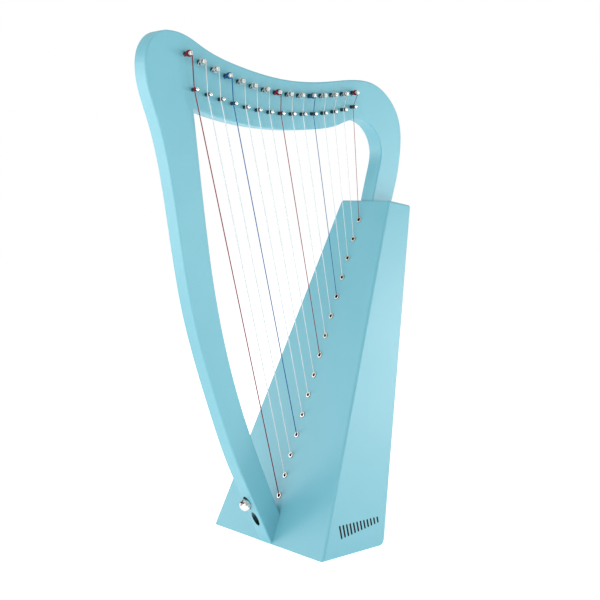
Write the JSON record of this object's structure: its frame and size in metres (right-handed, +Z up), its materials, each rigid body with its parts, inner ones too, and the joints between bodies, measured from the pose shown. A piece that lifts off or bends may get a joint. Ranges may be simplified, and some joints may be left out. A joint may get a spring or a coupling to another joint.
{
  "type": "celtic harp",
  "caption": "Small celtic lap harp: painted frame with pillar, curved neck and shoulder, wedge-shaped sound box, nylon strings on turning steel tuning pins.",
  "frame": {"origin": "bottom centre of the whole harp's box, on the surface that it stands on", "axes": "+Z up along the harp's height, +X from the pillar towards the sound box, -Y the side that the pins are on"},
  "size_m": [0.3734, 0.2036, 0.5796],
  "materials": {
    "aqua_paint": "satin pale aqua paint over hardwood",
    "bare_wood": "planed, unfinished",
    "ferrule_brass": "dull lacquered eyelet",
    "pin_steel": "blued body with a bright nickel end",
    "screw_chrome": "polished",
    "string_red": "dyed nylon",
    "string_blue": "dyed nylon",
    "string_clear": "clear nylon"
  },
  "bodies": {
    "harp_body": {"soundboard": "aqua_paint", "side_panel_near": "aqua_paint", "side_panel_far": "aqua_paint", "back_panel": "aqua_paint", "base_board": "aqua_paint", "pillar": "aqua_paint", "neck": "aqua_paint", "shoulder": "aqua_paint", "top_block": "bare_wood", "string_rib": "bare_wood", "foot_block": "bare_wood", "soundboard_linings": "bare_wood", "back_linings": "bare_wood", "back_braces": "bare_wood", "frame_dowels": "bare_wood", "string_ferrules": "ferrule_brass", "bridge_pins": "pin_steel", "foot_screw_upper": "screw_chrome", "foot_screw_lower": "screw_chrome", "string_01": "string_red", "string_02": "string_clear", "string_03": "string_clear", "string_04": "string_blue", "string_05": "string_clear", "string_06": "string_clear", "string_07": "string_clear", "string_08": "string_red", "string_09": "string_clear", "string_10": "string_clear", "string_11": "string_blue", "string_12": "string_clear", "string_13": "string_clear", "string_14": "string_clear", "string_15": "string_red"},
    "pin_01": {"tuning_pin_01": "pin_steel"},
    "pin_02": {"tuning_pin_02": "pin_steel"},
    "pin_03": {"tuning_pin_03": "pin_steel"},
    "pin_04": {"tuning_pin_04": "pin_steel"},
    "pin_05": {"tuning_pin_05": "pin_steel"},
    "pin_06": {"tuning_pin_06": "pin_steel"},
    "pin_07": {"tuning_pin_07": "pin_steel"},
    "pin_08": {"tuning_pin_08": "pin_steel"},
    "pin_09": {"tuning_pin_09": "pin_steel"},
    "pin_10": {"tuning_pin_10": "pin_steel"},
    "pin_11": {"tuning_pin_11": "pin_steel"},
    "pin_12": {"tuning_pin_12": "pin_steel"},
    "pin_13": {"tuning_pin_13": "pin_steel"},
    "pin_14": {"tuning_pin_14": "pin_steel"},
    "pin_15": {"tuning_pin_15": "pin_steel"}
  },
  "joints": [
    {"name": "tuning_pin_01_turn", "type": "hinge", "parent": "harp_body", "child": "pin_01", "pos_m": [-0.13646, -0.011, 0.5559], "axis": [0, -1, 0], "range_deg": [-990, 45]},
    {"name": "tuning_pin_02_turn", "type": "hinge", "parent": "harp_body", "child": "pin_02", "pos_m": [-0.11889, -0.011, 0.54834], "axis": [0, -1, 0], "range_deg": [-990, 45]},
    {"name": "tuning_pin_03_turn", "type": "hinge", "parent": "harp_body", "child": "pin_03", "pos_m": [-0.10139, -0.011, 0.54168], "axis": [0, -1, 0], "range_deg": [-990, 45]},
    {"name": "tuning_pin_04_turn", "type": "hinge", "parent": "harp_body", "child": "pin_04", "pos_m": [-0.08396, -0.011, 0.53589], "axis": [0, -1, 0], "range_deg": [-990, 45]},
    {"name": "tuning_pin_05_turn", "type": "hinge", "parent": "harp_body", "child": "pin_05", "pos_m": [-0.0666, -0.011, 0.53099], "axis": [0, -1, 0], "range_deg": [-990, 45]},
    {"name": "tuning_pin_06_turn", "type": "hinge", "parent": "harp_body", "child": "pin_06", "pos_m": [-0.04931, -0.011, 0.52698], "axis": [0, -1, 0], "range_deg": [-990, 45]},
    {"name": "tuning_pin_07_turn", "type": "hinge", "parent": "harp_body", "child": "pin_07", "pos_m": [-0.03208, -0.011, 0.52391], "axis": [0, -1, 0], "range_deg": [-990, 45]},
    {"name": "tuning_pin_08_turn", "type": "hinge", "parent": "harp_body", "child": "pin_08", "pos_m": [-0.01492, -0.011, 0.52178], "axis": [0, -1, 0], "range_deg": [-990, 45]},
    {"name": "tuning_pin_09_turn", "type": "hinge", "parent": "harp_body", "child": "pin_09", "pos_m": [0.00217, -0.011, 0.52056], "axis": [0, -1, 0], "range_deg": [-990, 45]},
    {"name": "tuning_pin_10_turn", "type": "hinge", "parent": "harp_body", "child": "pin_10", "pos_m": [0.01919, -0.011, 0.5202], "axis": [0, -1, 0], "range_deg": [-990, 45]},
    {"name": "tuning_pin_11_turn", "type": "hinge", "parent": "harp_body", "child": "pin_11", "pos_m": [0.03614, -0.011, 0.52066], "axis": [0, -1, 0], "range_deg": [-990, 45]},
    {"name": "tuning_pin_12_turn", "type": "hinge", "parent": "harp_body", "child": "pin_12", "pos_m": [0.05303, -0.011, 0.52179], "axis": [0, -1, 0], "range_deg": [-990, 45]},
    {"name": "tuning_pin_13_turn", "type": "hinge", "parent": "harp_body", "child": "pin_13", "pos_m": [0.06985, -0.011, 0.52346], "axis": [0, -1, 0], "range_deg": [-990, 45]},
    {"name": "tuning_pin_14_turn", "type": "hinge", "parent": "harp_body", "child": "pin_14", "pos_m": [0.0866, -0.011, 0.52551], "axis": [0, -1, 0], "range_deg": [-990, 45]},
    {"name": "tuning_pin_15_turn", "type": "hinge", "parent": "harp_body", "child": "pin_15", "pos_m": [0.10328, -0.011, 0.52784], "axis": [0, -1, 0], "range_deg": [-990, 45]}
  ]
}
